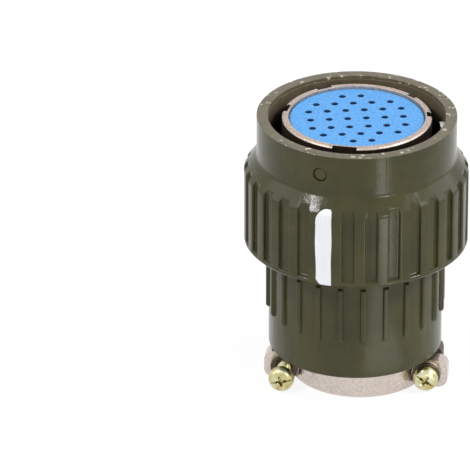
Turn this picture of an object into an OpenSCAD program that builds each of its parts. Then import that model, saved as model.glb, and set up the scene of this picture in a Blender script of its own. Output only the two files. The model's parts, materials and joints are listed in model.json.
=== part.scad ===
// Circular bayonet connector: the cable plug, with 32 socket contacts.
// It stands on its cable saddles, mating face up. Units are millimetres.
// Angles are measured from the front (-Y), positive to the right.

/* [Coupling nut] */
// Length of the coupling nut
nut_len = 26.2; // [25:0.1:28]
// Outside diameter of the grip, between its ribs
grip_d = 41.5; // [39:0.1:46]
// Wall between the grip and the race that the shell's flange turns in
grip_wall = 2.85; // [2.4:0.05:3.2]
// Step from the race in to the nut's bore
race_step = 1; // [0.7:0.05:1.3]
// Wall of the plain collar round the nut's bore
collar_wall = 2.2; // [1.9:0.05:2.5]
// Length of the plain collar
collar_len = 8.15; // [7:0.05:9]
// Length of the sloping shoulder between collar and grip
shoulder_len = 2.1; // [1.5:0.1:3]
// Number of grip ribs
grip_rib_count = 30; // [20:1:32]
// Width of a grip rib
grip_rib_w = 2.3; // [1.6:0.1:2.8]
// Height of a grip rib
grip_rib_h = 0.75; // [0.5:0.05:1]
// Radius of the grip ribs' edges
grip_rib_soft = 0.35; // [0.2:0.05:0.4]
// Height of the plain rim that the grip ribs stand on
grip_rim_h = 1.2; // [0.9:0.1:2]
// Direction of the first grip rib
grip_phase = -4.4; // [-6:0.1:6]
// Chamfer of the nut's edges
nut_edge = 0.5; // [0.3:0.05:0.7]
// Width of the shallow counterbore inside the rim
rim_step = 0.1; // [0.1:0.05:0.6]
// Depth of the counterbore inside the rim
rim_step_depth = 0.6; // [0.5:0.1:2]
// Depth from the rim to the step that the shell's flange meets
nut_seat_depth = 15.6; // [15:0.1:17]

/* [Bayonet pins] */
// Number of bayonet pins
bayonet_count = 3; // [2:1:3]
// Diameter of a bayonet pin
bayonet_d = 2.8; // [2:0.1:3.2]
// Distance of the pins from the rim
bayonet_drop = 4; // [3.2:0.1:6]
// How far a pin stands into the bore
bayonet_reach = 1.1; // [0.9:0.1:1.9]
// How far a pin's outer end lies below the collar
bayonet_sink = 0.15; // [0.1:0.05:0.4]
// Direction of the first bayonet pin
bayonet_phase = -27.6; // [-40:0.1:40]

/* [Plug shell] */
// Room between shell and nut, which the receptacle's barrel enters
mating_gap = 2.6; // [2.3:0.05:2.8]
// Wall of the shell round the insert
shell_wall = 1.25; // [1.15:0.05:1.4]
// Length of the shell in front of its flange
shell_front_len = 15.45; // [14.5:0.05:16]
// Height of the register at the shell's root, which centres the receptacle's barrel
register_step = 0.2; // [0.18:0.01:0.22]
// Length of that register
register_len = 2.6; // [2.2:0.1:2.9]
// Thickness of the flange
flange_t = 2.8; // [2:0.1:3.4]
// Room between hub and race, which the nut's spring and washer fill
bearing_w = 2.3; // [2:0.05:2.5]
// Length of the threaded hub behind the flange
hub_len = 10; // [9.5:0.1:12]
// Wall of the hub
hub_wall = 1.4; // [1.2:0.05:1.6]
// Depth of the step inside the shell, below the flange's face
step_wall = 0.8; // [0.5:0.1:1.5]
// Chamfer of the shell's edges
shell_edge = 0.3; // [0.2:0.05:0.4]
// Depth of the keyways in the shell
keyway_depth = 0.95; // [0.6:0.05:1]
// Length of the keyways from the shell's face
keyway_len = 12.5; // [10:0.5:14]
// Width of the main keyway
main_keyway_w = 4.7; // [3:0.1:6]
// Width of a middling keyway
mid_keyway_w = 3; // [2:0.1:4]
// Width of a narrow keyway
narrow_keyway_w = 2; // [1.2:0.1:3]

/* [Nut bearing] */
// Thickness of the wave spring's strip
wave_t = 0.35; // [0.25:0.05:0.4]
// Height of the wave spring as fitted
wave_h = 1.6; // [1.5:0.05:1.8]
// Number of waves
wave_count = 4; // [3:1:6]
// Thickness of the thrust washer
thrust_t = 0.9; // [0.6:0.1:1]
// Thickness of the retaining ring
ring_t = 1; // [0.8:0.1:1.2]
// Depth of the retaining ring's groove in the nut
ring_groove = 1; // [0.8:0.05:1.2]
// Radial width of the retaining ring
ring_w = 2.6; // [2.2:0.1:2.8]
// Gap in the retaining ring
ring_gap = 4; // [2:0.5:6]
// Thickness of the rubber seal in front of the flange
seal_t = 1.2; // [0.8:0.1:2]
// Radial width of that seal
seal_w = 1.5; // [1:0.1:1.6]

/* [Insert and contacts] */
// Depth of the insert's face below the shell's face
insert_drop = 0.5; // [0.3:0.1:1]
// Chamfer of the insert's face
insert_edge = 0.3; // [0.2:0.05:0.5]
// Distance between neighbouring contacts
contact_pitch = 3.55; // [3.3:0.05:3.8]
// Diameter of the holes in the insert's face
entry_d = 1.35; // [1.1:0.05:1.5]
// Depth of the narrow part of those holes
entry_depth = 1.2; // [0.8:0.1:2]
// Outside diameter of a socket contact
contact_d = 1.9; // [1.7:0.05:2.1]
// Bore of a socket contact
contact_bore_d = 1.05; // [0.9:0.05:1.2]
// Depth of a contact's bore
contact_bore_len = 9; // [7:0.5:12]
// Diameter of the shoulder that holds a contact
contact_shoulder_d = 2.5; // [2.4:0.05:2.8]
// Thickness of that shoulder
contact_shoulder_t = 1.8; // [1:0.1:2.4]
// Length of the solder cups behind the insert
cup_len = 5; // [3.5:0.1:5.5]
// Wall of a solder cup
cup_wall = 0.3; // [0.2:0.05:0.4]
// Solid length between a solder cup and the insert
cup_root = 0.5; // [0.3:0.1:1]
// Thickness of the rim behind the step in the insert
insert_flange_t = 3; // [2:0.1:3.4]
// Thickness of the rear insert
rear_insert_t = 4.8; // [4:0.1:5.2]
// Thickness of the insert's retaining nut
insert_nut_t = 2.2; // [1.5:0.1:2.4]
// Wall of the insert's retaining nut
insert_nut_wall = 1.2; // [0.9:0.1:1.4]
// Width and depth of the spanner slots in that nut
spanner_slot = 1.4; // [1:0.1:1.8]

/* [Backshell] */
// Length of the backshell
backshell_len = 25.1; // [24:0.1:28]
// Wall of the backshell round the shell's thread
thread_wall = 1.1; // [1:0.05:1.4]
// Depth of the thread that takes the plug shell
thread_depth = 5.5; // [5:0.1:6]
// Wall of the wiring chamber
chamber_wall = 3.1; // [2.8:0.1:3.4]
// Length of the wiring chamber
chamber_len = 7.3; // [6.5:0.1:8]
// Wall round the gland at the lower end
gland_wall = 1.5; // [1.3:0.05:1.8]
// Radius of the backshell's lower edge
backshell_edge = 0.5; // [0.4:0.1:1.2]
// Number of ribs round the backshell
barrel_rib_count = 24; // [16:1:30]
// Width of a backshell rib
barrel_rib_w = 1.1; // [0.8:0.1:1.6]
// Height of a backshell rib
barrel_rib_h = 0.6; // [0.4:0.05:0.8]
// Radius of the backshell ribs' edges
barrel_rib_soft = 0.3; // [0.2:0.05:0.35]
// Length of the backshell ribs
barrel_rib_len = 11.4; // [8:0.1:14]
// Height of the ribs above the backshell's lower edge
barrel_rib_rise = 7.8; // [5:0.1:9]
// Direction of the first backshell rib
barrel_rib_phase = -1.1; // [-7:0.1:7]

/* [Cable gland] */
// Thickest cable that passes the rubber
cable_d = 19.2; // [16:0.2:20]
// Thickness of a gland washer
gland_washer_t = 0.7; // [0.5:0.1:1]
// Radial room of the cable in a gland washer
washer_room = 0.4; // [0.2:0.05:0.6]
// Length of the clamp body's threaded ring
clamp_ring_len = 4.6; // [4:0.1:5]
// Thickness of the clamp body's floor
clamp_floor_t = 2; // [1.5:0.1:2.5]

/* [Cable saddles] */
// Height of the saddles
saddle_h = 5.6; // [5.6:0.1:7]
// Gap between the front saddle and the clamp body
saddle_gap = 0.3; // [0.2:0.05:0.6]
// Radial room of the cable in the open saddles
saddle_room = 0.8; // [0.4:0.05:1]
// Thickness of the saddles' arcs
saddle_wall = 3; // [2:0.1:3]
// Radius of the saddles' cast edges
cast_edge = 0.5; // [0.3:0.1:0.8]
// Thickness of a front ear
ear_t = 3; // [2.4:0.1:3.4]
// Thickness of a rear ear, which holds the screw's thread
rear_ear_t = 3.6; // [3:0.1:5]
// Width of a front ear outside its screw's axis
ear_end = 4; // [3.2:0.1:5]
// Width of a rear ear outside its screw's axis
rear_ear_end = 2.4; // [2.4:0.1:4.1]
// How far the ears reach in over the saddles' arcs
ear_root = 1.6; // [1:0.1:2]
// Radius of the ears' corners
ear_corner = 1.8; // [1:0.1:2.2]
// Distance from the cable's axis to the front ears' face
front_ear_y = 6.8; // [6.2:0.1:7]
// Open gap between the front and the rear ears
ears_gap = 3; // [2.8:0.1:3.2]
// How far the saddles lie beside the plug's axis, towards the right screw
clamp_shift = 0.9; // [0:0.1:1]
// Direction that the clamp faces
clamp_turn = -12.4; // [-30:0.1:30]

/* [Clamp screws] */
// Distance of a screw's axis from the outside of the saddles' arcs
screw_offset = 0.35; // [0.3:0.05:1.5]
// Diameter of a screw's shank
screw_d = 2.65; // [2.5:0.05:2.9]
// Length of a screw below its head
screw_len = 13; // [12:0.5:14]
// Diameter of a screw's head
screw_head_d = 4.9; // [4.6:0.1:5.4]
// Height of a screw's head
screw_head_h = 2.1; // [1.8:0.1:2.4]
// Height of the head's rounded crown
screw_crown = 0.95; // [0.6:0.05:1.2]
// Width of the cross recess in the head
recess_w = 0.7; // [0.5:0.05:0.9]
// Length of the cross recess
recess_len = 2.9; // [2:0.1:3.6]
// Depth of the cross recess
recess_depth = 1.05; // [0.6:0.05:1.3]
// Thickness of a plain washer
flat_washer_t = 0.6; // [0.4:0.05:0.8]
// Diameter of a plain washer
flat_washer_d = 5.5; // [5.3:0.1:5.6]
// Thickness of a spring washer
spring_washer_t = 0.8; // [0.6:0.05:1]
// Diameter of a spring washer
spring_washer_d = 5.3; // [5:0.1:5.6]
// Width of the cut in a spring washer
washer_cut = 0.5; // [0.3:0.05:0.8]
// How far the left screw stands out of its seat
left_screw_out = 3.6; // [1:0.1:4.6]

/* [Fits] */
// Radial clearance where the nut turns on the flange
run_fit = 0.05; // [0.02:0.01:0.1]
// Axial clearance between the flange and the nut's step
step_gap = 0.1; // [0.05:0.01:0.2]
// Radial clearance of rings and washers that only sit in place
ring_fit = 0.15; // [0.1:0.05:0.3]
// Radial clearance of a contact in the insert
contact_fit = 0.05; // [0.03:0.01:0.08]
// Radial clearance of the insert in the shell
insert_fit = 0.05; // [0.02:0.01:0.1]
// Radial clearance of a screw in a washer or an ear
screw_clearance = 0.3; // [0.2:0.05:0.4]
// Radial clearance of a thread
thread_fit = 0.05; // [0.02:0.01:0.08]

/* [Hidden] */
$fn = 96;

// Heights, from the surface that the saddles stand on
backshell_z = saddle_h + saddle_gap;
backshell_top = backshell_z + backshell_len;
shell_z = backshell_top - thread_depth;
flange_z = shell_z + hub_len;
flange_top = flange_z + flange_t;
shell_face = flange_top + shell_front_len;
insert_face = shell_face - insert_drop;
nut_seat = flange_top + step_gap;
nut_rim = nut_seat + nut_seat_depth;
nut_z = nut_rim - nut_len;
collar_z = nut_rim - collar_len;
grip_top = collar_z - shoulder_len;
wave_z = flange_z - wave_h;
thrust_z = wave_z - thrust_t;
ring_z = thrust_z - step_gap - ring_t;
insert_step = flange_top - step_wall;
insert_flange_z = insert_step - insert_flange_t;
rear_insert_z = insert_flange_z - rear_insert_t;
insert_nut_z = rear_insert_z - insert_nut_t;
contact_front = insert_face - entry_depth;
shoulder_z = insert_flange_z - contact_shoulder_t / 2;
chamber_z = shell_z - chamber_len;
clamp_top = backshell_z + clamp_ring_len;
screw_z = saddle_h / 2;

// Radii, from the grip inwards
grip_r = grip_d / 2;
grip_rib_r = grip_r + grip_rib_h;
race_r = grip_r - grip_wall;
nut_bore_r = race_r - race_step;
collar_r = nut_bore_r + collar_wall;
groove_r = race_r + ring_groove;
flange_r = race_r - run_fit;
shell_r = nut_bore_r - mating_gap;
shell_bore_r = shell_r - shell_wall;
insert_r = shell_bore_r - insert_fit;
hub_r = race_r - bearing_w;
hub_bore_r = hub_r - hub_wall;
insert_flange_r = hub_bore_r - insert_fit;
backshell_r = hub_r + thread_wall;
chamber_r = backshell_r - chamber_wall;
gland_r = backshell_r - gland_wall;

// Radii, from the cable outwards
cable_r = cable_d / 2;
saddle_r = cable_r + saddle_room;
saddle_out_r = saddle_r + saddle_wall;
screw_x = saddle_out_r + screw_offset;
ear_x = screw_x + ear_end;
rear_ear_x = screw_x + rear_ear_end;
contact_r = contact_d / 2;
screw_r = screw_d / 2;
screw_hole_r = screw_r + screw_clearance;
spot_r = flat_washer_d / 2 + ring_fit;

// Places along the clamp screws, from the cable's axis towards the front
seat_y = -front_ear_y;
spring_y = seat_y - flat_washer_t;
head_y = spring_y - spring_washer_t;
rear_ear_y = seat_y + ear_t + ears_gap;

// A margin by which cuts run past the faces that they open
over = 1;

// Keyways: direction and width
main_keyway_angle = -16;
KEYWAYS = [
    [main_keyway_angle, main_keyway_w],
    [-110, mid_keyway_w],
    [-159, mid_keyway_w],
    [124, narrow_keyway_w],
    [88, narrow_keyway_w]
];

// Contact rows: how many, and how far from the middle in pitches
near_row = 1 + sqrt(3) / 2;
far_row = 1 + sqrt(3);
ROWS = [[6, 0], [6, 1], [6, -1], [5, near_row], [5, -near_row], [2, far_row], [2, -far_row]];
CONTACTS = [
    for (row = ROWS)
        for (i = [0:row[0] - 1])
            [i - (row[0] - 1) / 2, row[1]] * contact_pitch
];
CONTACT_NODES = [for (i = [1:len(CONTACTS)]) str("contact_", i < 10 ? "0" : "", i)];
BAYONET_NODES = [for (i = [1:bayonet_count]) str("bayonet_pin_", i)];

// ---- shared shapes ----

// A tube or ring standing on z
module tube(r_out, r_in, z, h) {
    translate([0, 0, z])
        difference() {
            cylinder(r = r_out, h = h);
            translate([0, 0, -over]) cylinder(r = r_in, h = h + 2 * over);
        }
}

// A rectangle from [x0, y0] to [x1, y1] with all four corners round
module round_rect(x0, y0, x1, y1, r) {
    translate([x0 + r, y0]) square([x1 - x0 - 2 * r, y1 - y0]);
    translate([x0, y0 + r]) square([x1 - x0, y1 - y0 - 2 * r]);
    for (x = [x0 + r, x1 - r])
        for (y = [y0 + r, y1 - r])
            translate([x, y]) circle(r);
}

// Straight ribs round an upright cylinder, with soft edges and ends
module ribs(count, width, foot_r, top_r, z0, z1, soft, phase) {
    intersection() {
        rotate_extrude() round_rect(foot_r - over, z0, top_r, z1, soft);
        translate([0, 0, z0])
            linear_extrude(height = z1 - z0)
                for (i = [0:count - 1])
                    rotate(phase + i * 360 / count)
                        round_rect(-width / 2, -top_r - soft, width / 2, over - foot_r, soft);
    }
}

// Puts its children, drawn at the front, in a direction round the axis
module facing(angle) {
    rotate([0, 0, angle]) children();
}

// Lays its children, drawn upwards, along the clamp screws' direction
module on_screw(side, y) {
    facing(clamp_turn)
        translate([clamp_shift + side * screw_x, y, screw_z])
            rotate([90, 0, 0])
                children();
}

// ---- coupling nut and its bearing ----

module nut_profile() {
    polygon([
        [nut_bore_r, nut_seat],
        [nut_bore_r, nut_rim - rim_step_depth],
        [nut_bore_r + rim_step, nut_rim - rim_step_depth],
        [nut_bore_r + rim_step, nut_rim],
        [collar_r - nut_edge, nut_rim],
        [collar_r, nut_rim - nut_edge],
        [collar_r, collar_z],
        [grip_r - nut_edge, grip_top + nut_edge],
        [grip_r, grip_top],
        [grip_r, nut_z + grip_rim_h + grip_rib_soft],
        [grip_rib_r, nut_z + grip_rim_h - grip_rib_soft],
        [grip_rib_r, nut_z + nut_edge],
        [grip_rib_r - nut_edge, nut_z],
        [race_r, nut_z],
        [race_r, nut_seat]
    ]);
}

module coupling_nut() {
    color("#4a4830")
    difference() {
        union() {
            rotate_extrude() nut_profile();
            ribs(grip_rib_count, grip_rib_w, grip_r, grip_rib_r,
                nut_z + nut_edge, grip_top, grip_rib_soft, grip_phase);
        }
        tube(groove_r, race_r - over, ring_z - step_gap / 2, ring_t + step_gap);
        for (i = [0:bayonet_count - 1])
            facing(bayonet_phase + i * 360 / bayonet_count)
                bayonet_rod(nut_bore_r - over, collar_r + over);
    }
}

// A radial rod at the pins' height, drawn at the front
module bayonet_rod(from_r, to_r) {
    translate([0, -from_r, nut_rim - bayonet_drop])
        rotate([90, 0, 0])
            cylinder(d = bayonet_d, h = to_r - from_r);
}

module bayonet_pin(i) {
    color("#c9c6bc")
    facing(bayonet_phase + i * 360 / bayonet_count)
        bayonet_rod(nut_bore_r - bayonet_reach, collar_r - bayonet_sink);
}

module thrust_washer() {
    color("#c2bba6")
    tube(race_r - ring_fit, hub_r + ring_fit, thrust_z, thrust_t);
}

// Snap ring in the nut's groove, with the gap that lets it close
module retaining_ring() {
    color("#8d8f90")
    difference() {
        tube(groove_r, groove_r - ring_w, ring_z, ring_t);
        facing(180)
            translate([-ring_gap / 2, -groove_r - over, ring_z - over])
                cube([ring_gap, ring_w + 2 * over, ring_t + 2 * over]);
    }
}

// One closed strip whose height follows a cosine round the axis
module wave_spring() {
    steps = 24 * wave_count;
    swing = (wave_h - wave_t) / 2;
    inner = hub_r + 2 * ring_fit;
    outer = race_r - 2 * ring_fit;
    section = [[inner, 0], [outer, 0], [outer, wave_t], [inner, wave_t]];
    points = [
        for (i = [0:steps - 1])
            let (a = i * 360 / steps, lift = wave_z + swing * (1 - cos(wave_count * a)))
                for (p = section)
                    [p[0] * cos(a), p[0] * sin(a), lift + p[1]]
    ];
    faces = [
        for (i = [0:steps - 1])
            for (k = [0:3])
                let (here = 4 * i, next = 4 * ((i + 1) % steps), m = (k + 1) % 4)
                    for (tri = [[here + k, here + m, next + m], [here + k, next + m, next + k]])
                        tri
    ];
    color("#9b9c98")
    polyhedron(points = points, faces = faces);
}

// ---- plug shell ----

module keyway(angle, width) {
    facing(angle)
        translate([-width / 2, -shell_r - over, shell_face - keyway_len])
            cube([width, over + keyway_depth, keyway_len + over]);
}

module plug_shell() {
    register_r = shell_r + register_step;
    register_top = flange_top + register_len;
    color("#b9aea6")
    difference() {
        rotate_extrude()
            polygon([
                [shell_bore_r, shell_face],
                [shell_r - shell_edge, shell_face],
                [shell_r, shell_face - shell_edge],
                [shell_r, register_top + register_step],
                [register_r, register_top],
                [register_r, flange_top],
                [flange_r, flange_top],
                [flange_r, flange_z],
                [hub_r, flange_z],
                [hub_r, shell_z + shell_edge],
                [hub_r - shell_edge, shell_z],
                [hub_bore_r, shell_z],
                [hub_bore_r, insert_step],
                [shell_bore_r, insert_step]
            ]);
        for (k = KEYWAYS) keyway(k[0], k[1]);
    }
}

// Rubber ring that the receptacle's rim presses on
module interface_seal() {
    seal_r = nut_bore_r - 2 * ring_fit;
    color("#22201e")
    tube(seal_r, seal_r - seal_w, flange_top, seal_t);
}

// ---- insert and contacts ----

// The cavities that the contacts fill, bored from z0 to z1
module contact_cavities(z0, z1) {
    for (c = CONTACTS)
        translate([c[0], c[1], 0]) {
            translate([0, 0, z0 - over])
                cylinder(r = contact_r + contact_fit, h = z1 - z0 + over);
            translate([0, 0, shoulder_z])
                cylinder(d = contact_shoulder_d + 2 * contact_fit, h = contact_shoulder_t);
        }
}

module front_insert() {
    color("#4f9fe0")
    difference() {
        rotate_extrude()
            polygon([
                [0, insert_face],
                [insert_r - insert_edge, insert_face],
                [insert_r, insert_face - insert_edge],
                [insert_r, insert_step],
                [insert_flange_r, insert_step],
                [insert_flange_r, insert_flange_z],
                [0, insert_flange_z]
            ]);
        contact_cavities(insert_flange_z, contact_front);
        for (c = CONTACTS)
            translate([c[0], c[1], contact_front - over])
                cylinder(d = entry_d, h = entry_depth + 2 * over);
    }
}

module rear_insert() {
    color("#3f86c4")
    difference() {
        translate([0, 0, rear_insert_z]) cylinder(r = insert_flange_r, h = rear_insert_t);
        contact_cavities(rear_insert_z, insert_flange_z + over);
    }
}

// Threaded ring that holds the insert, with two spanner slots
module insert_nut() {
    color("#a9a297")
    difference() {
        tube(insert_flange_r, insert_flange_r - insert_nut_wall, insert_nut_z, insert_nut_t);
        translate([-insert_flange_r, -spanner_slot / 2, insert_nut_z - spanner_slot])
            cube([2 * insert_flange_r, spanner_slot, 2 * spanner_slot]);
    }
}

// Turned socket contact with a solder cup
module contact(i) {
    cup_bore_r = contact_r - cup_wall;
    cup_z = rear_insert_z - cup_len;
    color("#d8c48a")
    translate([CONTACTS[i][0], CONTACTS[i][1], 0])
        difference() {
            union() {
                translate([0, 0, cup_z]) cylinder(r = contact_r, h = contact_front - cup_z);
                translate([0, 0, shoulder_z])
                    cylinder(d = contact_shoulder_d, h = contact_shoulder_t);
            }
            translate([0, 0, contact_front - contact_bore_len])
                cylinder(d = contact_bore_d, h = contact_bore_len + over);
            translate([0, 0, cup_z - over]) cylinder(r = cup_bore_r, h = cup_len - cup_root + over);
            translate([-contact_r, -contact_r - cup_bore_r / 2, cup_z - over])
                cube([contact_d, contact_r, cup_len - 2 * cup_root + over]);
        }
}

// ---- backshell and gland ----

module backshell() {
    rib_z = backshell_z + barrel_rib_rise;
    color("#4a4830")
    difference() {
        union() {
            rotate_extrude()
                difference() {
                    round_rect(-backshell_r, backshell_z, backshell_r, backshell_top, backshell_edge);
                    translate([-2 * backshell_r, 0]) square([2 * backshell_r, backshell_top + over]);
                }
            ribs(barrel_rib_count, barrel_rib_w, backshell_r, backshell_r + barrel_rib_h,
                rib_z, rib_z + barrel_rib_len, barrel_rib_soft, barrel_rib_phase);
        }
        translate([0, 0, shell_z]) cylinder(r = hub_r + thread_fit, h = thread_depth + over);
        translate([0, 0, chamber_z - over]) cylinder(r = chamber_r, h = chamber_len + 2 * over);
        translate([0, 0, backshell_z - over])
            cylinder(r = gland_r, h = chamber_z - backshell_z + over);
    }
}

module gland_washer(z) {
    color("#a8a59c")
    tube(gland_r - ring_fit, cable_r + washer_room, z, gland_washer_t);
}

module gland_seal() {
    foot = clamp_top + gland_washer_t;
    color("#1f1e1d")
    tube(gland_r - ring_fit, cable_r, foot, chamber_z - gland_washer_t - foot);
}

// ---- clamp body, saddles and screws ----

// One ear's outline from the front: its outer corners are round
module ear_outline(side, reach) {
    mirror([side < 0 ? 1 : 0, 0])
        difference() {
            round_rect(0, 0, reach, saddle_h, ear_corner);
            square([saddle_out_r - ear_root, saddle_h]);
        }
}

// Both ears as plates with their front face at y
module ears(y, thickness, reach) {
    for (side = [-1, 1])
        translate([0, y + thickness, 0])
            rotate([90, 0, 0])
                linear_extrude(height = thickness) ear_outline(side, reach);
}

// The saddles' full ring, its outer edges soft as cast
module saddle_ring(h) {
    rotate_extrude()
        difference() {
            round_rect(0, 0, saddle_out_r, h, cast_edge);
            square([saddle_r, h]);
        }
}

module clamp_body() {
    ring_r = gland_r - thread_fit;
    color("#bdb7ae")
    facing(clamp_turn)
        difference() {
            union() {
                translate([0, 0, backshell_z]) cylinder(r = ring_r, h = clamp_floor_t);
                tube(ring_r, chamber_r, backshell_z, clamp_ring_len);
                translate([clamp_shift, 0, 0]) {
                    intersection() {
                        union() {
                            saddle_ring(saddle_h);
                            tube(saddle_out_r - cast_edge, saddle_r, screw_z, backshell_z);
                        }
                        translate([-ear_x, rear_ear_y, 0])
                            cube([2 * ear_x, ear_x, backshell_z + clamp_floor_t]);
                    }
                    ears(rear_ear_y, rear_ear_t, rear_ear_x);
                }
            }
            translate([clamp_shift, 0, -over]) cylinder(r = saddle_r, h = clamp_top);
            for (side = [-1, 1])
                translate([clamp_shift + side * screw_x, rear_ear_y - over, screw_z])
                    rotate([-90, 0, 0])
                        cylinder(r = screw_r + thread_fit, h = ear_x);
        }
}

module front_saddle() {
    color("#bdb7ae")
    facing(clamp_turn)
        translate([clamp_shift, 0, 0])
            difference() {
                union() {
                    intersection() {
                        saddle_ring(saddle_h);
                        translate([-ear_x, seat_y + ear_t - ear_x, 0])
                            cube([2 * ear_x, ear_x, saddle_h]);
                    }
                    ears(seat_y, ear_t, ear_x);
                }
                for (side = [-1, 1])
                    translate([side * screw_x, 0, screw_z])
                        rotate([90, 0, 0]) {
                            cylinder(r = screw_hole_r, h = ear_x);
                            translate([0, 0, front_ear_y]) cylinder(r = spot_r, h = ear_x);
                        }
            }
}

// Pan-head screw, its head's underside at the origin and its head upwards
module clamp_screw() {
    head_r = screw_head_d / 2;
    dome_r = (head_r * head_r + screw_crown * screw_crown) / (2 * screw_crown);
    color("#cfc58f")
    difference() {
        union() {
            intersection() {
                cylinder(r = head_r, h = screw_head_h);
                translate([0, 0, screw_head_h - dome_r]) sphere(dome_r);
            }
            translate([0, 0, -screw_len]) cylinder(r = screw_r, h = screw_len + screw_head_h / 2);
        }
        for (turn = [0, 90])
            rotate(turn)
                translate([-recess_len / 2, -recess_w / 2, screw_head_h - recess_depth])
                    cube([recess_len, recess_w, recess_depth + over]);
    }
}

module spring_washer() {
    cut_angle = 20;
    color("#5d5a52")
    difference() {
        tube(spring_washer_d / 2, screw_hole_r, 0, spring_washer_t);
        rotate(cut_angle)
            translate([0, -washer_cut / 2, -over])
                cube([spring_washer_d, washer_cut, spring_washer_t + 2 * over]);
    }
}

module flat_washer() {
    color("#cbbf8e")
    tube(flat_washer_d / 2, screw_hole_r, 0, flat_washer_t);
}

coupling_nut();
plug_shell();
interface_seal();
wave_spring();
thrust_washer();
retaining_ring();
front_insert();
rear_insert();
insert_nut();
backshell();
gland_seal();
gland_washer(chamber_z - gland_washer_t);  // upper_gland_washer
gland_washer(clamp_top);  // lower_gland_washer
clamp_body();
front_saddle();
on_screw(-1, head_y - left_screw_out) clamp_screw();  // left_screw
on_screw(1, head_y) clamp_screw();  // right_screw
on_screw(-1, spring_y) spring_washer();  // left_spring_washer
on_screw(1, spring_y) spring_washer();  // right_spring_washer
on_screw(-1, seat_y) flat_washer();  // left_flat_washer
on_screw(1, seat_y) flat_washer();  // right_flat_washer
for (i = [0:bayonet_count - 1])
    bayonet_pin(i);
for (i = [0:len(CONTACTS) - 1])
    contact(i);
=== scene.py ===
import json
from math import atan2, cos, degrees, pi, radians, sin, sqrt

import bmesh
import bpy
from mathutils import Matrix, Vector


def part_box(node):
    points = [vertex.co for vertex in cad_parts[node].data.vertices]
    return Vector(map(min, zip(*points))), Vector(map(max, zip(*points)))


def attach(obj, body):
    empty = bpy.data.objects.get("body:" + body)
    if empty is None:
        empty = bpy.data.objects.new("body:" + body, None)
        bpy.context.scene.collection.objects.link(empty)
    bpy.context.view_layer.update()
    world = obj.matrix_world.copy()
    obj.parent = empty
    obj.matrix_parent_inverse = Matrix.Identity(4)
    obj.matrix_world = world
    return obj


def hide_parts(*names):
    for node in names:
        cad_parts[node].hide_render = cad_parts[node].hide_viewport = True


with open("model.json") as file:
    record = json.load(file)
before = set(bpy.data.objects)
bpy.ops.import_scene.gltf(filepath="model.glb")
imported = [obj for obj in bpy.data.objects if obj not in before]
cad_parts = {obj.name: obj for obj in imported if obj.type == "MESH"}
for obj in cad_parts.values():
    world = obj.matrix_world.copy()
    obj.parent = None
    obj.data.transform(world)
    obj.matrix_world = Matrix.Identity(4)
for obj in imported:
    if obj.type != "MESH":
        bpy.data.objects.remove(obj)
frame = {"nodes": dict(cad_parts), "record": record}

MM = 0.001
NODES = frame["nodes"]
SCENE = bpy.context.scene
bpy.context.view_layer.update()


# ---- sizes, in millimetres, as the solids have them ----

def low(node):
    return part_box(node)[0].z / MM


def high(node):
    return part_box(node)[1].z / MM


NUT_FOOT, NUT_RIM = low("coupling_nut"), high("coupling_nut")
GRIP_R, COLLAR_R, BORE_R, RACE_R = 20.75, 19.1, 16.9, 17.9
COLLAR_FOOT = NUT_RIM - 8.15
GRIP_TOP = COLLAR_FOOT - 2.1
NUT_SEAT = NUT_RIM - 15.6
GRIP_RIB_R, GRIP_RIM_H, GRIP_PHASE = 21.5, 1.2, -4.4
PIN_DROP, PIN_R, PIN_PHASE = 4.0, 1.4, -27.6
RING_FOOT, RING_TOP, GROOVE_R = low("retaining_ring"), high("retaining_ring"), 18.9

BARREL_FOOT, BARREL_TOP = low("backshell"), high("backshell")
BARREL_R = 16.7
BARREL_RIB_H, BARREL_PHASE = 0.6, -1.1
THREAD_FOOT, CHAMBER_FOOT = BARREL_TOP - 5.5, BARREL_TOP - 12.8
THREAD_R, CHAMBER_R, GLAND_R = 15.65, 13.6, 15.2

CLAMP_TURN, CLAMP_SHIFT, SCREW_X, SCREW_Z = -12.4, 0.9, 13.75, 2.8
EAR_FACE, FLAT_T, SPRING_T, SPRING_R = 6.8, 0.6, 0.8, 2.65
HEAD_R, HEAD_H, SHANK_R, THREAD_PITCH, SCREW_LEN = 2.45, 2.1, 1.325, 0.5, 13.0
LEFT_SCREW_OUT = 3.6
SHELL_FACE, SHELL_R, INSERT_FACE = high("plug_shell"), 14.3, high("front_insert")


# ---- mesh work ----

def facing(degrees):
    """Turns what is drawn at the front, -Y, to another direction round the axis."""
    return Matrix.Rotation(radians(degrees), 3, "Z")


def spun(profile, columns, phase=0.0):
    """A closed profile of (radius, height) spun round the axis, its first column at phase."""
    bm = bmesh.new()
    points = [bm.verts.new((0, -r * MM, z * MM)) for r, z in profile]
    lines = [bm.edges.new((points[i - 1], points[i])) for i in range(len(points))]
    bmesh.ops.rotate(bm, verts=points, cent=(0, 0, 0), matrix=facing(phase))
    bmesh.ops.spin(bm, geom=points + lines, cent=(0, 0, 0), axis=(0, 0, 1),
                   angle=2 * pi, steps=columns, use_merge=True)
    bmesh.ops.recalc_face_normals(bm, faces=bm.faces)
    return bm


def radius(point):
    return Vector((point.x, point.y)).length / MM


def softly_least(one, other, blend):
    """The smaller of two lengths, rounded over where they cross."""
    return min(one, other) - max(blend - abs(one - other), 0) ** 2 / (4 * blend)


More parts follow.
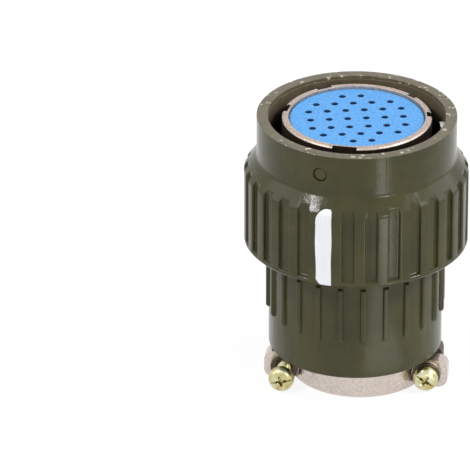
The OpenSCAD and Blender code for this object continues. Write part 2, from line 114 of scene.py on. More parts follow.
def shape_ribs(bm, wall_r, half_pitch, phase, outline, reach):
    """Moves the columns of a spun wall together at the ribs' sides and lifts them there.

    The outline lists half a rib from its middle out, as degrees and share of the height; reach gives
    the radius for a share and a height above the floor."""
    turns = [t for t, _ in outline]
    count = 2 * len(outline) - 2
    for v in bm.verts:
        turn = (degrees(atan2(v.co.x, -v.co.y)) - phase) / (2 * half_pitch)
        pitch = round(turn)
        index = round((turn - pitch) * count)
        share = outline[abs(index)][1]
        place = phase + pitch * 2 * half_pitch + (turns[index] if index >= 0 else -turns[-index])
        z = v.co.z / MM
        r = radius(v.co)
        if abs(r - wall_r) < 0.001:
            r = reach(share, z)
        v.co = facing(place) @ Vector((0, -r * MM, z * MM))


def round_off(bm, width, segments, sharper=30, only=None):
    """Bevels the edges that turn by more than so many degrees."""
    edges = [e for e in bm.edges
             if len(e.link_faces) == 2 and e.calc_face_angle(0) > radians(sharper)
             and (only is None or only(e))]
    bmesh.ops.bevel(bm, geom=edges, offset=width * MM, offset_type="OFFSET", affect="EDGES",
                    segments=segments, profile=0.5, material=-1, clamp_overlap=True)


def piece(name, bm, body, materials, stands_for=(), even=True):
    """Turns a bmesh into a finished, smooth object that rides on a body."""
    mesh = bpy.data.meshes.new(name)
    for face in bm.faces:
        face.smooth = True
    for edge in bm.edges:
        if len(edge.link_faces) == 2 and edge.calc_face_angle(0) > radians(50):
            edge.smooth = False
    bm.to_mesh(mesh)
    bm.free()
    for material in materials:
        mesh.materials.append(material)
    obj = bpy.data.objects.new(name, mesh)
    SCENE.collection.objects.link(obj)
    if even:
        weights = obj.modifiers.new("Even normals", "WEIGHTED_NORMAL")
        weights.keep_sharp = True
    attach(obj, body)
    if stands_for:
        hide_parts(*stands_for)
    return obj


def softened(node, width, segments=2, sharper=30):
    """A merged copy of a CAD solid's mesh with its sharp edges broken."""
    bm = bmesh.new()
    bm.from_mesh(NODES[node].data)
    bmesh.ops.remove_doubles(bm, verts=bm.verts, dist=2e-6)
    bmesh.ops.dissolve_limit(bm, angle_limit=radians(0.5), verts=bm.verts, edges=bm.edges,
                             use_dissolve_boundaries=False)
    round_off(bm, width, segments, sharper)
    return bm


# ---- materials ----

def srgb(code):
    """A colour written as six hex digits, as the linear values that a shader takes."""
    parts = [int(code[i:i + 2], 16) / 255 for i in (0, 2, 4)]
    return tuple(c / 12.92 if c <= 0.04045 else ((c + 0.055) / 1.055) ** 2.4 for c in parts) + (1.0,)


def add(tree, kind, inputs=None, **settings):
    """Adds one node, sets it up and fills its inputs with values or with other nodes' sockets."""
    made = tree.nodes.new(kind)
    for name, value in settings.items():
        setattr(made, name, value)
    for name, value in (inputs or {}).items():
        if isinstance(value, bpy.types.NodeSocket):
            tree.links.new(value, made.inputs[name])
        else:
            made.inputs[name].default_value = value
    return made


def begin(name):
    """An empty material's tree and its Object coordinates."""
    material = bpy.data.materials.new(name)
    material.use_nodes = True
    material.node_tree.nodes.clear()
    tree = material.node_tree
    return material, tree, add(tree, "ShaderNodeTexCoord").outputs["Object"]


def end(tree, shader):
    add(tree, "ShaderNodeOutputMaterial", {"Surface": shader.outputs[0]})


def blend_of(tree, factor, one, other):
    """One colour fading to another by a factor from 0 to 1."""
    mix = add(tree, "ShaderNodeMix", {0: factor, 6: one, 7: other}, data_type="RGBA")
    return mix.outputs[2]


def olive_enamel():
    """Gloss olive drab enamel sprayed on a die casting: deep and even, with orange peel."""
    material, tree, here = begin("olive_gloss_enamel")
    cloud = add(tree, "ShaderNodeTexNoise", {"Vector": here, "Scale": 140.0, "Detail": 3.0})
    peel = add(tree, "ShaderNodeTexNoise", {"Vector": here, "Scale": 1500.0, "Detail": 2.0})
    grit = add(tree, "ShaderNodeTexNoise", {"Vector": here, "Scale": 4200.0, "Detail": 1.0})
    shade = add(tree, "ShaderNodeMapRange", {"Value": cloud.outputs[0], "From Min": 0.35, "From Max": 0.65})
    colour = blend_of(tree, shade.outputs[0], srgb("34331A"), srgb("3E3C1E"))
    waves = add(tree, "ShaderNodeBump", {"Height": peel.outputs[0], "Strength": 0.12, "Distance": 0.0002})
    bump = add(tree, "ShaderNodeBump", {"Height": grit.outputs[0], "Strength": 0.22, "Distance": 0.0001,
                                        "Normal": waves.outputs[0]})
    end(tree, add(tree, "ShaderNodeBsdfPrincipled", {
        "Base Color": colour, "Roughness": 0.16, "Specular IOR Level": 0.3, "Normal": bump.outputs[0]}))
    return material


def worn_rim():
    """The nut's rim, where mating has rubbed the enamel to a brownish tone with chips down to the metal."""
    material, tree, here = begin("worn_enamel_rim")
    rub = add(tree, "ShaderNodeTexNoise", {"Vector": here, "Scale": 420.0, "Detail": 3.0})
    chips = add(tree, "ShaderNodeTexNoise", {"Vector": here, "Scale": 900.0, "Detail": 3.0})
    where = add(tree, "ShaderNodeMapRange", {"Value": chips.outputs[0], "From Min": 0.62, "From Max": 0.7})
    base = blend_of(tree, rub.outputs[0], srgb("4F4834"), srgb("6B6450"))
    colour = blend_of(tree, where.outputs[0], base, srgb("C9C2AE"))
    bump = add(tree, "ShaderNodeBump", {"Height": chips.outputs[0], "Strength": 0.3, "Distance": 0.0001})
    end(tree, add(tree, "ShaderNodeBsdfPrincipled", {
        "Base Color": colour, "Roughness": 0.3, "Specular IOR Level": 0.4, "Normal": bump.outputs[0]}))
    return material


def bore_metal():
    """The nut's bore: bronze-brown chromate on aluminium, dull, with painted shade darkening it lower down."""
    material, tree, here = begin("chromated_bore_aluminium")
    stain = add(tree, "ShaderNodeTexNoise", {"Vector": here, "Scale": 600.0, "Detail": 4.0})
    height = add(tree, "ShaderNodeSeparateXYZ", {"Vector": here})
    # painted shade: the wall darkens from 1.5 mm to 6 mm below the rim
    depth = add(tree, "ShaderNodeMapRange", {"Value": height.outputs["Z"], "From Min": (NUT_RIM - 6) * MM,
                                             "From Max": (NUT_RIM - 1.5) * MM}, interpolation_type="SMOOTHSTEP")
    bore_tone = blend_of(tree, stain.outputs[0], srgb("5E5442"), srgb("8A7D66"))
    painted_shade_tone = blend_of(tree, stain.outputs[0], srgb("1E1612"), srgb("382C24"))
    colour = blend_of(tree, depth.outputs[0], painted_shade_tone, bore_tone)
    bump = add(tree, "ShaderNodeBump", {"Height": stain.outputs[0], "Strength": 0.2, "Distance": 0.0001})
    end(tree, add(tree, "ShaderNodeBsdfPrincipled", {
        "Base Color": colour, "Metallic": 0.3, "Roughness": 0.42, "Normal": bump.outputs[0]}))
    return material


def shell_side_painted_shade():
    """The shell's outer side, darkened to near black as painted shade, like the foot of the bore."""
    material, tree, here = begin("aluminium_in_painted_shade")
    stain = add(tree, "ShaderNodeTexNoise", {"Vector": here, "Scale": 600.0, "Detail": 4.0})
    colour = blend_of(tree, stain.outputs[0], srgb("1A130F"), srgb("33271F"))
    end(tree, add(tree, "ShaderNodeBsdfPrincipled", {
        "Base Color": colour, "Metallic": 0.2, "Roughness": 0.5, "Specular IOR Level": 0.3}))
    return material


def shell_casting():
    """Nickel-washed cast aluminium, blasted: pinkish grey with fine bright and dark specks."""
    material, tree, here = begin("blasted_cast_aluminium")
    speck = add(tree, "ShaderNodeTexNoise", {"Vector": here, "Scale": 2600.0, "Detail": 2.0})
    patch = add(tree, "ShaderNodeTexNoise", {"Vector": here, "Scale": 420.0, "Detail": 2.0})
    spread = add(tree, "ShaderNodeMapRange", {"Value": speck.outputs[0], "From Min": 0.38, "From Max": 0.62})
    fine = blend_of(tree, spread.outputs[0], srgb("94857B"), srgb("D2C8C0"))
    colour = blend_of(tree, patch.outputs[0], fine, srgb("B9A69B"))
    bump = add(tree, "ShaderNodeBump", {"Height": speck.outputs[0], "Strength": 0.35, "Distance": 0.0001})
    end(tree, add(tree, "ShaderNodeBsdfPrincipled", {
        "Base Color": colour, "Metallic": 0.7, "Roughness": 0.45, "Normal": bump.outputs[0]}))
    return material


def clamp_casting():
    """Tumbled zinc die casting: bright silver with a warm tone and a soft, uneven skin."""
    material, tree, here = begin("tumbled_zinc_casting")
    speck = add(tree, "ShaderNodeTexNoise", {"Vector": here, "Scale": 1900.0, "Detail": 2.0})
    swell = add(tree, "ShaderNodeTexNoise", {"Vector": here, "Scale": 420.0, "Detail": 2.0})
    spread = add(tree, "ShaderNodeMapRange", {"Value": speck.outputs[0], "From Min": 0.35, "From Max": 0.65})
    fine = blend_of(tree, spread.outputs[0], srgb("BDB0A7"), srgb("D8D1CA"))
    colour = blend_of(tree, swell.outputs[0], fine, srgb("CDBFB6"))
    rough = add(tree, "ShaderNodeBump", {"Height": swell.outputs[0], "Strength": 0.35, "Distance": 0.0004})
    bump = add(tree, "ShaderNodeBump", {"Height": speck.outputs[0], "Strength": 0.15, "Distance": 0.0001,
                                        "Normal": rough.outputs[0]})
    end(tree, add(tree, "ShaderNodeBsdfPrincipled", {
        "Base Color": colour, "Metallic": 0.92, "Roughness": 0.2, "Normal": bump.outputs[0]}))
    return material


def blue_insert():
    """Moulded glass-filled plastic: clear sky blue, satin, with a fine mottled skin."""
    material, tree, here = begin("moulded_blue_plastic")
    grain = add(tree, "ShaderNodeTexNoise", {"Vector": here, "Scale": 2200.0, "Detail": 2.0})
    spread = add(tree, "ShaderNodeMapRange", {"Value": grain.outputs[0], "From Min": 0.4, "From Max": 0.7})
    colour = blend_of(tree, spread.outputs[0], srgb("4592D6"), srgb("66ABE8"))
    bump = add(tree, "ShaderNodeBump", {"Height": grain.outputs[0], "Strength": 0.3, "Distance": 0.0001})
    end(tree, add(tree, "ShaderNodeBsdfPrincipled", {
        "Base Color": colour, "Roughness": 0.45, "Specular IOR Level": 0.4, "Normal": bump.outputs[0]}))
    return material


def hole_shade():
    """The same plastic in the entry holes, darkened to deep blue as painted shade."""
    material, tree, here = begin("blue_plastic_painted_hole_shade")
    grain = add(tree, "ShaderNodeTexNoise", {"Vector": here, "Scale": 1500.0, "Detail": 2.0})
    colour = blend_of(tree, grain.outputs[0], srgb("0C2C52"), srgb("15416F"))
    end(tree, add(tree, "ShaderNodeBsdfPrincipled", {"Base Color": colour, "Roughness": 0.5}))
    return material


def contact_plate():
    """Silver-plated brass: pale gold, smooth and slightly tarnished."""
    material, tree, here = begin("plated_brass")
    tarnish = add(tree, "ShaderNodeTexNoise", {"Vector": here, "Scale": 900.0, "Detail": 2.0})
    colour = blend_of(tree, tarnish.outputs[0], srgb("C9B077"), srgb("E2D5B4"))
    end(tree, add(tree, "ShaderNodeBsdfPrincipled", {"Base Color": colour, "Metallic": 1.0, "Roughness": 0.3}))
    return material


def yellow_zinc():
    """Yellow-chromated zinc plate: pale gold running to green where the film is thin."""
    material, tree, here = begin("yellow_zinc_plate")
    film = add(tree, "ShaderNodeTexNoise", {"Vector": here, "Scale": 650.0, "Detail": 3.0})
    spread = add(tree, "ShaderNodeMapRange", {"Value": film.outputs[0], "From Min": 0.35, "From Max": 0.65})
    colour = blend_of(tree, spread.outputs[0], srgb("BBAA6C"), srgb("D6D6B4"))
    bump = add(tree, "ShaderNodeBump", {"Height": film.outputs[0], "Strength": 0.15, "Distance": 0.0001})
    end(tree, add(tree, "ShaderNodeBsdfPrincipled", {
        "Base Color": colour, "Metallic": 1.0, "Roughness": 0.28, "Normal": bump.outputs[0]}))
    return material


def plain_metal(name, dark, light, roughness, scale=1200.0):
    """Turned or rolled steel with the faint unevenness of handling and oil."""
    material, tree, here = begin(name)
    film = add(tree, "ShaderNodeTexNoise", {"Vector": here, "Scale": scale, "Detail": 3.0})
    colour = blend_of(tree, film.outputs[0], srgb(dark), srgb(light))
    bump = add(tree, "ShaderNodeBump", {"Height": film.outputs[0], "Strength": 0.1, "Distance": 0.0001})
    end(tree, add(tree, "ShaderNodeBsdfPrincipled", {
        "Base Color": colour, "Metallic": 1.0, "Roughness": roughness, "Normal": bump.outputs[0]}))
    return material


def rubber():
    """Moulded nitrile rubber: near black and matte with a bloom."""
    material, tree, here = begin("nitrile_rubber")
    bloom = add(tree, "ShaderNodeTexNoise", {"Vector": here, "Scale": 800.0, "Detail": 3.0})
    colour = blend_of(tree, bloom.outputs[0], srgb("1B1A19"), srgb("2C2A28"))
    end(tree, add(tree, "ShaderNodeBsdfPrincipled", {"Base Color": colour, "Roughness": 0.75}))
    return material


def stripe_paint():
    """White marking enamel laid on by brush: thick, glossy, with faint lines along the stroke."""
    material, tree, here = begin("white_marking_enamel")
    along = add(tree, "ShaderNodeMapping", {"Vector": here, "Scale": (2600.0, 2600.0, 60.0)})
    lines = add(tree, "ShaderNodeTexNoise", {"Vector": along.outputs[0], "Scale": 1.0, "Detail": 2.0})
    colour = blend_of(tree, lines.outputs[0], srgb("D3D5DA"), srgb("E0E2E5"))
    bump = add(tree, "ShaderNodeBump", {"Height": lines.outputs[0], "Strength": 0.2, "Distance": 0.0001})
    end(tree, add(tree, "ShaderNodeBsdfPrincipled", {
        "Base Color": colour, "Roughness": 0.35, "Normal": bump.outputs[0]}))
    return material


ENAMEL, BORE, SHELL, CLAMP = olive_enamel(), bore_metal(), shell_casting(), clamp_casting()
WORN_RIM, SHELL_SIDE_SHADE = worn_rim(), shell_side_painted_shade()
BLUE, HOLE_PAINTED_SHADE, CONTACT, ZINC = blue_insert(), hole_shade(), contact_plate(), yellow_zinc()
RUBBER, STRIPE = rubber(), stripe_paint()
DULL_ZINC = plain_metal("dulled_zinc_plate", "8C846A", "B4AD93", 0.35)
# a darker copy of the zinc casting: painted shade for the clamp body behind the barrel
CLAMP_IN_PAINTED_SHADE = plain_metal("zinc_casting_in_painted_shade", "4A423B", "75695F", 0.5)
SPRING = plain_metal("oiled_spring_steel", "3A322B", "6B6057", 0.3)
STEEL = plain_metal("bright_steel", "B4B1AB", "D2D0CB", 0.28)
FINISHES = {"olive_paint": ENAMEL, "shell_metal": SHELL, "clamp_metal": CLAMP, "insert_blue": BLUE,
            "contact_metal": CONTACT, "zinc_yellow": ZINC, "spring_steel": SPRING, "plain_steel": STEEL,
            "black_rubber": RUBBER}
for part in frame["record"]["subparts"]:
    solid = NODES[part["node"]]
    solid.data.materials.clear()
    solid.data.materials.append(FINISHES[part["material_slot"]])


# ---- coupling nut ----

def shoulder_r(z):
    """The radius of the nut's sloping shoulder, which runs down over the ribs' tops."""
    return COLLAR_R + (COLLAR_FOOT - z) * (GRIP_R - COLLAR_R) / (COLLAR_FOOT - GRIP_TOP)


def grip_r(share, z):
    rim = max(0.0, min(1.0, (NUT_FOOT + GRIP_RIM_H + 0.35 - z) / 0.7))
    lift = max(share, rim * rim * (3 - 2 * rim))
    return softly_least(GRIP_R + (GRIP_RIB_R - GRIP_R) * lift, shoulder_r(z), 0.3)


GRIP_OUTLINE = ((0, 1), (1.1, 1), (2.1, 1), (2.45, 0.985), (2.68, 0.93), (2.86, 0.82), (3.0, 0.55), (3.1, 0.2),
                (3.2, 0.05), (3.4, 0), (4.2, 0), (5.1, 0), (6, 0))


def coupling_nut():
    ends = [0.4, 0.15, 0, -0.15, -0.3, -0.45, -0.6, -0.75, -0.9, -1.05, -1.25, -1.6]
    rows = [GRIP_TOP + rise for rise in ends]
    rows += [NUT_FOOT + GRIP_RIM_H + rise for rise in (0.6, 0.35, 0.25, 0.15, 0.05, -0.05, -0.15, -0.25, -0.35)]
    profile = [
        (BORE_R, NUT_SEAT), (BORE_R, NUT_RIM - 0.6), (BORE_R + 0.1, NUT_RIM - 0.6), (BORE_R + 0.1, NUT_RIM),
        (COLLAR_R, NUT_RIM), (COLLAR_R, COLLAR_FOOT)]
    profile += [(GRIP_R, z) for z in rows]
    profile += [
        (GRIP_RIB_R, NUT_FOOT + 0.5), (GRIP_RIB_R - 0.5, NUT_FOOT),
        (RACE_R, NUT_FOOT), (RACE_R, RING_FOOT - 0.05), (GROOVE_R, RING_FOOT - 0.05),
        (GROOVE_R, RING_TOP + 0.05), (RACE_R, RING_TOP + 0.05), (RACE_R, NUT_SEAT)]
    bm = spun(profile, 720, GRIP_PHASE)
    shape_ribs(bm, GRIP_R, 6, GRIP_PHASE, GRIP_OUTLINE, grip_r)
    crease = [e for e in bm.edges if all(abs(v.co.z / MM - COLLAR_FOOT) < 0.01 and radius(v.co) > 18
                                         for v in e.verts)]
    bmesh.ops.bevel(bm, geom=crease, offset=0.5 * MM, offset_type="OFFSET", affect="EDGES", segments=5,
                    profile=0.5, material=-1)
    round_off(bm, 0.25, 3, sharper=28, only=lambda e: all(
        radius(v.co) < 20 or v.co.z / MM < NUT_FOOT + 0.6 for v in e.verts) and abs(
        e.verts[0].co.z - e.verts[1].co.z) < 1e-7)
    for face in bm.faces:
        centre = face.calc_center_median()
        r, z = radius(centre), centre.z / MM
        face.material_index = 1 if r < BORE_R + 0.05 else 0
        if z > NUT_RIM - 0.35 and r > BORE_R + 0.04:
            face.material_index = 2
        if NUT_FOOT + 0.2 < z < NUT_SEAT + 0.2 and r < GROOVE_R + 0.1:
            face.material_index = 1
    nut = piece("coupling_nut_painted", bm, "nut", [ENAMEL, BORE, WORN_RIM], ["coupling_nut"])
    drill(nut, [radial_rod(PIN_PHASE + turn, BORE_R - 1, COLLAR_R + 1, PIN_R) for turn in (0, 120, 240)])
    return nut


def radial_rod(turn, start, stop, thickness):
    """A rod along a radius at the bayonet pins' height."""
    bm = bmesh.new()
    bmesh.ops.create_cone(bm, cap_ends=True, segments=48, radius1=thickness * MM, radius2=thickness * MM,
                          depth=(stop - start) * MM)
    bmesh.ops.rotate(bm, verts=bm.verts, cent=(0, 0, 0), matrix=Matrix.Rotation(radians(90), 3, "X"))
    bmesh.ops.translate(bm, verts=bm.verts, vec=(0, -(start + stop) / 2 * MM, (NUT_RIM - PIN_DROP) * MM))
    bmesh.ops.rotate(bm, verts=bm.verts, cent=(0, 0, 0), matrix=facing(turn))
    return bm


def drill(obj, tools):
    """Takes the tools' shapes out of a piece for good."""
    bits = bmesh.new()
    for tool in tools:
        mesh = bpy.data.meshes.new("bit")
        tool.to_mesh(mesh)
        tool.free()
        bits.from_mesh(mesh)
        bpy.data.meshes.remove(mesh)
    mesh = bpy.data.meshes.new("bits")
    bits.to_mesh(mesh)
    bits.free()
    cutter = bpy.data.objects.new("bits", mesh)
    SCENE.collection.objects.link(cutter)
    cut = obj.modifiers.new("Drill", "BOOLEAN")
    cut.operation, cut.solver, cut.object = "DIFFERENCE", "EXACT", cutter
    with bpy.context.temp_override(object=obj, active_object=obj):
        bpy.ops.object.modifier_move_to_index(modifier="Drill", index=0)
        bpy.ops.object.modifier_apply(modifier="Drill")
    bpy.data.objects.remove(cutter)
    bpy.data.meshes.remove(mesh)


def bayonet_pin(number):
    """A steel pin riveted into the collar: its outer end is sprayed over with the nut."""
    turn = PIN_PHASE + 120 * (number - 1)
    bm = radial_rod(turn, BORE_R - 1.1, COLLAR_R - 0.15, PIN_R - 0.02)
    round_off(bm, 0.45, 4, sharper=60)
    for face in bm.faces:
        face.material_index = int(radius(face.calc_center_median()) > BORE_R + 1)
    name = "bayonet_pin_%d" % number
    return piece(name + "_riveted", bm, "nut", [STEEL, ENAMEL], [name])


def rounding(x):
    """How far a round corner of radius 1 falls away at x from its start."""
    return 1 - sqrt(1 - min(1.0, max(0.0, x)) ** 2)


def index_stripe():
    """A brushed line of marking enamel that fills one groove of the grip and laps the rib left of it."""
    left, right = -27.5, -18.8
    bm = bmesh.new()
    bmesh.ops.create_grid(bm, x_segments=30, y_segments=90, size=0.5)
    for v in bm.verts:
        u, w = min(1.0, max(0.0, v.co.x + 0.5)), v.co.y + 0.5
        # the brush lifted off at the upper right and left a chamfer at the lower left
        top = GRIP_TOP + 0.1 - 2.6 * rounding((0.66 - u) / 0.66) - 0.9 * rounding((u - 0.84) / 0.16)
        foot = NUT_FOOT + 0.12 + 1.1 * max(0.0, (0.3 - u) / 0.3) + 0.12 * (1 - u)
        height = foot + (top - foot) * w
        lean = (1 - u) * (0.55 * (1 - w) + 0.16 * sin(w * 8)) + u * (0.12 * sin(w * 11 + 1) - 0.2 * (1 - w))
        reach = softly_least(GRIP_RIB_R, shoulder_r(height), 0.3) + 0.05
        reach -= max(0.0, NUT_FOOT + 0.5 - height)
        edge = max(0.0, 1 - min(u, 1 - u) / 0.05)
        v.co = facing(left + (right - left) * u + lean) @ Vector((0, -(reach - 0.05 * edge) * MM, height * MM))
    bmesh.ops.recalc_face_normals(bm, faces=bm.faces)
    bmesh.ops.solidify(bm, geom=bm.faces[:], thickness=0.3 * MM)
    bmesh.ops.recalc_face_normals(bm, faces=bm.faces)
    return piece("index_stripe", bm, "nut", [STRIPE])


# ---- backshell ----

BARREL_OUTLINE = ((0, 1), (0.8, 1), (1.25, 0.97), (1.55, 0.85), (1.75, 0.55), (1.88, 0.2), (2.05, 0.02),
                  (4.5, 0), (7.5, 0))


def backshell():
    rib_foot = BARREL_FOOT + 7.8
    rib_top = rib_foot + 11.4
    rows = [rib_foot + rise for rise in (0, 0.12, 0.24, 0.36, 0.5)]
    rows += [rib_top - rise for rise in (0.5, 0.36, 0.24, 0.12, 0)]
    profile = [(GLAND_R, BARREL_FOOT), (BARREL_R, BARREL_FOOT)] + [(BARREL_R, z) for z in rows] + [
        (BARREL_R, BARREL_TOP), (THREAD_R, BARREL_TOP), (THREAD_R, THREAD_FOOT),
        (CHAMBER_R, THREAD_FOOT), (CHAMBER_R, CHAMBER_FOOT), (GLAND_R, CHAMBER_FOOT)]
    bm = spun(profile, 384, BARREL_PHASE)

    def reach(share, z):
        end = max(0.0, min(1.0, min(z - rib_foot, rib_top - z) / 0.5))
        return BARREL_R + BARREL_RIB_H * share * (1 - rounding(1 - end))

    shape_ribs(bm, BARREL_R, 7.5, BARREL_PHASE, BARREL_OUTLINE, reach)
    round_off(bm, 0.4, 4, only=lambda e: all(
        v.co.z / MM < rib_foot - 1 or v.co.z / MM > rib_top + 1 for v in e.verts) and abs(
        e.verts[0].co.z - e.verts[1].co.z) < 1e-7)
    return piece("backshell_painted", bm, "plug", [ENAMEL], ["backshell"])


# ---- shell and insert ----

def plug_shell():
    bm = softened("plug_shell", 0.12, 2)
    for face in bm.faces:
        centre = face.calc_center_median()
        # the outer side below the face takes the near-black painted shade
        outside = radius(centre) > SHELL_R - 1 and centre.z / MM < SHELL_FACE - 0.35
        face.material_index = int(outside)
    return piece("keyed_shell", bm, "plug", [SHELL, SHELL_SIDE_SHADE], ["plug_shell"])


def socket_face():
    bm = softened("front_insert", 0.06, 1)
    for face in bm.faces:
        centre = face.calc_center_median()
        # faces below the insert's face, inside the contact field, take the painted hole shade
        face.material_index = int(centre.z / MM < INSERT_FACE - 0.05 and radius(centre) < 12.5)
    return piece("socket_insert", bm, "plug", [BLUE, HOLE_PAINTED_SHADE], ["front_insert"])


# ---- cable clamp ----

def on_screw(side, distance):
    """The place and lie of something on a clamp screw, its own Z pointing out of the ear."""
    put = Matrix.Translation(Vector((CLAMP_SHIFT + side * SCREW_X, -distance, SCREW_Z)) * MM)
    return facing(CLAMP_TURN).to_4x4() @ put @ Matrix.Rotation(radians(90), 4, "X")


def lathe(bm, profile, steps):
    """Adds a shape turned round Z from points of (radius, height) in mm, its ends on the axis."""
    points = [bm.verts.new((r * MM, 0, z * MM)) for r, z in profile]
    lines = [bm.edges.new((points[i], points[i + 1])) for i in range(len(points) - 1)]
    bmesh.ops.spin(bm, geom=points + lines, cent=(0, 0, 0), axis=(0, 0, 1), angle=2 * pi, steps=steps,
                   use_merge=True)
    bmesh.ops.remove_doubles(bm, verts=bm.verts, dist=1e-7)


def clamp_screw(side, distance, twist):
    name = ("left" if side < 0 else "right") + "_screw"
    bm = bmesh.new()
    lathe(bm, [(0, HEAD_H), (1.0, HEAD_H - 0.03), (1.6, HEAD_H - 0.14), (2.05, HEAD_H - 0.36),
               (2.32, HEAD_H - 0.7), (HEAD_R, HEAD_H - 1.1), (HEAD_R, 0.2), (HEAD_R - 0.15, 0.02),
               (1.2, 0), (0, 0)], 64)
    bmesh.ops.recalc_face_normals(bm, faces=bm.faces)
    head = piece(name + "_head", bm, name, [ZINC], even=False)
    arms = []
    for turn, length, width, depth in ((0, 3.3, 0.72, 1.25), (90, 3.3, 0.72, 1.25), (0, 4.3, 0.5, 0.62)):
        arm = bmesh.new()
        bmesh.ops.create_cube(arm, size=1.0)
        bmesh.ops.scale(arm, vec=(length * MM, width * MM, 2 * depth * MM), verts=arm.verts)
        floor = [v for v in arm.verts if v.co.z < 0]
        bmesh.ops.scale(arm, vec=(0.45 if length < 4 else 0.9, 0.7, 1), verts=floor)
        bmesh.ops.translate(arm, vec=(0, 0, HEAD_H * MM), verts=arm.verts)
        bmesh.ops.rotate(arm, cent=(0, 0, 0), matrix=facing(turn + twist), verts=arm.verts)
        arms.append(arm)
    for arm in arms:
        drill(head, [arm])
    bm = bmesh.new()
    bm.from_mesh(head.data)
    bmesh.ops.remove_doubles(bm, verts=bm.verts, dist=2e-6)
    recess = [e for e in bm.edges if len(e.link_faces) == 2 and e.calc_face_angle(0) > radians(40)
              and all(v.co.z > (HEAD_H - 0.5) * MM for v in e.verts)]
    bmesh.ops.bevel(bm, geom=recess, offset=0.05 * MM, offset_type="OFFSET", affect="EDGES", segments=2,
                    profile=0.5, material=-1, clamp_overlap=True)
    thread = bmesh.new()
    crest, root = SHANK_R, SHANK_R - 0.24
    turns = int((SCREW_LEN - 0.6) / THREAD_PITCH)
    start = -SCREW_LEN + 0.4
    points = [thread.verts.new((r * MM, 0, z * MM)) for r, z in (
        (root, start), (root, start + 0.1), (crest, start + 0.23), (crest, start + 0.3),
        (root, start + THREAD_PITCH - 0.05), (root, start + THREAD_PITCH))]
    lines = [thread.edges.new((points[i], points[i + 1])) for i in range(len(points) - 1)]
    steps = 36 * turns
    bmesh.ops.spin(thread, geom=points + lines, cent=(0, 0, 0), axis=(0, 0, 1), angle=2 * pi * turns,
                   steps=steps, dvec=(0, 0, turns * THREAD_PITCH * MM / steps))
    bmesh.ops.remove_doubles(thread, verts=thread.verts, dist=2e-6)
    lathe(thread, [(0, -SCREW_LEN), (root - 0.2, -SCREW_LEN), (root, start), (root, 0.05), (0, 0.05)], 36)
    bmesh.ops.recalc_face_normals(thread, faces=thread.faces)
    mesh = bpy.data.meshes.new("shank")
    thread.to_mesh(mesh)
    thread.free()
    bm.from_mesh(mesh)
    bpy.data.meshes.remove(mesh)
    bpy.data.objects.remove(head)
    bmesh.ops.transform(bm, matrix=on_screw(side, distance), verts=bm.verts)
    return piece(name + "_threaded", bm, name, [ZINC], [name], even=False)


def spring_washer(side):
    """A split ring with its ends sprung apart, dark with oil."""
    name = ("left" if side < 0 else "right") + "_spring_washer"
    bm = bmesh.new()
    inner, outer, thick, rise = SHANK_R + 0.15, SPRING_R, 0.55, 0.22
    points = [bm.verts.new((x * MM, 0, z * MM)) for x, z in (
        (inner, 0.01), (outer, 0.01), (outer, thick), (inner, thick))]
    section = bm.faces.new(points)
    steps = 68
    made = bmesh.ops.spin(bm, geom=[section], cent=(0, 0, 0), axis=(0, 0, 1), angle=radians(344),
                          steps=steps, dvec=(0, 0, rise * MM / steps))
    bmesh.ops.recalc_face_normals(bm, faces=bm.faces)
    round_off(bm, 0.08, 2, sharper=60)
    bmesh.ops.rotate(bm, cent=(0, 0, 0), matrix=facing(60 if side < 0 else 200), verts=bm.verts)
    bmesh.ops.transform(bm, matrix=on_screw(side, EAR_FACE + FLAT_T), verts=bm.verts)
    return piece(name + "_split", bm, "saddle", [SPRING], [name], even=False)


def flat_washer(side):
    name = ("left" if side < 0 else "right") + "_flat_washer"
    return piece(name + "_stamped", softened(name, 0.12, 2), "saddle", [DULL_ZINC], [name])


def saddle_half(node, body):
    # the clamp body takes the darker copy, which is painted shade
    finish = CLAMP if body == "saddle" else CLAMP_IN_PAINTED_SHADE
    return piece(node + "_cast", softened(node, 0.3, 3), body, [finish], [node])


coupling_nut()
index_stripe()
for number in (1, 2, 3):
    bayonet_pin(number)
backshell()
plug_shell()
socket_face()
saddle_half("clamp_body", "plug")
saddle_half("front_saddle", "saddle")
head_seat = EAR_FACE + FLAT_T + SPRING_T
clamp_screw(-1, head_seat + LEFT_SCREW_OUT, 12)
clamp_screw(1, head_seat, -32)
for side in (-1, 1):
    spring_washer(side)
    flat_washer(side)


# ---- floor, light and camera ----

AIM = Vector((0, 0, 28.27 * MM))
CAMERA_TURN, CAMERA_RISE, CAMERA_DISTANCE = -6.4, 27.0, 1.3


def seen_from(turn, rise, distance):
    """A place round the plug, its turn counted from the camera's own direction."""
    a, e = radians(CAMERA_TURN + turn), radians(rise)
    return AIM + distance * Vector((sin(a) * cos(e), -cos(a) * cos(e), sin(e)))


def seen_by_lens(tree):
    """1 for rays that show the background as it is: straight, mirrored or through glass."""
    path = add(tree, "ShaderNodeLightPath")
    first = add(tree, "ShaderNodeMath", {0: path.outputs["Is Camera Ray"], 1: path.outputs["Is Glossy Ray"]},
                operation="MAXIMUM")
    return add(tree, "ShaderNodeMath", {0: first.outputs[0], 1: path.outputs["Is Transmission Ray"]},
               operation="MAXIMUM").outputs[0]


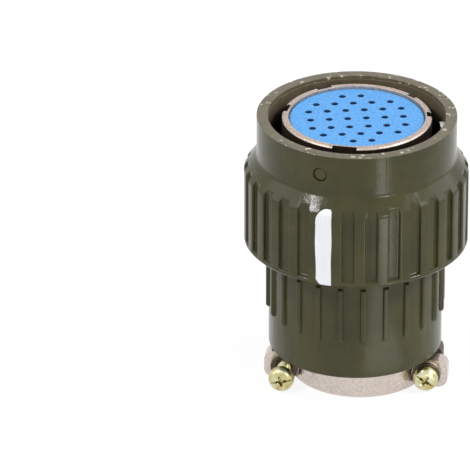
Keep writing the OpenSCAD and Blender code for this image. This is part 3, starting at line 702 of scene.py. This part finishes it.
def studio():
    bm = bmesh.new()
    bmesh.ops.create_grid(bm, x_segments=1, y_segments=1, size=3.0)
    mesh = bpy.data.meshes.new("studio_floor")
    bm.to_mesh(mesh)
    bm.free()
    floor = bpy.data.objects.new("studio_floor", mesh)
    SCENE.collection.objects.link(floor)
    material, tree, here = begin("white_paper_floor")
    paper = add(tree, "ShaderNodeBsdfDiffuse", {"Color": (0.9, 0.9, 0.9, 1)})
    white = add(tree, "ShaderNodeEmission", {"Color": (1, 1, 1, 1), "Strength": 1.06})
    share = add(tree, "ShaderNodeMath", {0: seen_by_lens(tree), 1: 0.82}, operation="MULTIPLY")
    end(tree, add(tree, "ShaderNodeMixShader", {0: share.outputs[0], 1: paper.outputs[0],
                                                2: white.outputs[0]}))
    mesh.materials.append(material)

    world = bpy.data.worlds.new("studio_white")
    SCENE.world = world
    world.use_nodes = True
    tree = world.node_tree
    tree.nodes.clear()
    level = add(tree, "ShaderNodeMapRange", {"Value": seen_by_lens(tree), "To Min": 0.45, "To Max": 1.0})
    sky = add(tree, "ShaderNodeBackground", {"Color": (1, 1, 1, 1), "Strength": level.outputs[0]})
    add(tree, "ShaderNodeOutputWorld", {"Surface": sky.outputs[0]})


def lamp(name, turn, rise, distance, width, height, watts, aim=None):
    data = bpy.data.lights.new(name, "AREA")
    data.shape, data.size, data.size_y, data.energy = "RECTANGLE", width, height, watts
    obj = bpy.data.objects.new(name, data)
    obj.location = seen_from(turn, rise, distance)
    obj.rotation_euler = ((aim or AIM) - obj.location).to_track_quat("-Z", "Y").to_euler()
    obj.visible_camera = False
    SCENE.collection.objects.link(obj)
    return obj


studio()
lamp("panel_left", -88, 34, 0.8, 0.5, 0.5, 1.0)
lamp("panel_right", 105, 25, 0.8, 0.5, 0.5, 1.2)
lamp("softbox_left", -55, 46, 0.8, 0.09, 0.12, 2.6)
lamp("softbox_right", 77, 46, 0.8, 0.09, 0.12, 2.8)
lamp("strip_right", 32, 20, 0.7, 0.08, 0.25, 0.75)
for name, centre, length, watts in (("far", 0.108, 0.06, 0.016), ("near", 0.05, 0.05, 0.004)):
    reflector = lamp("reflector_" + name, 28, 0, centre, 0.02, length, watts)
    reflector.location.z = 2 * MM
    reflector.rotation_euler = (pi, 0, radians(CAMERA_TURN + 28))

camera_data = bpy.data.cameras.new("camera")
camera_data.sensor_width = 36.0
camera_data.lens = 518.8
camera_data.shift_x = -0.2572
camera_data.clip_start, camera_data.clip_end = 0.1, 20.0
camera = bpy.data.objects.new("camera", camera_data)
camera.location = seen_from(0, CAMERA_RISE, CAMERA_DISTANCE)
look = (AIM - camera.location).to_track_quat("-Z", "Y").to_matrix()
camera.rotation_euler = (look @ Matrix.Rotation(radians(0.52), 3, "Z")).to_euler()
SCENE.collection.objects.link(camera)
SCENE.camera = camera
SCENE.view_settings.view_transform = "Standard"

bpy.context.view_layer.update()
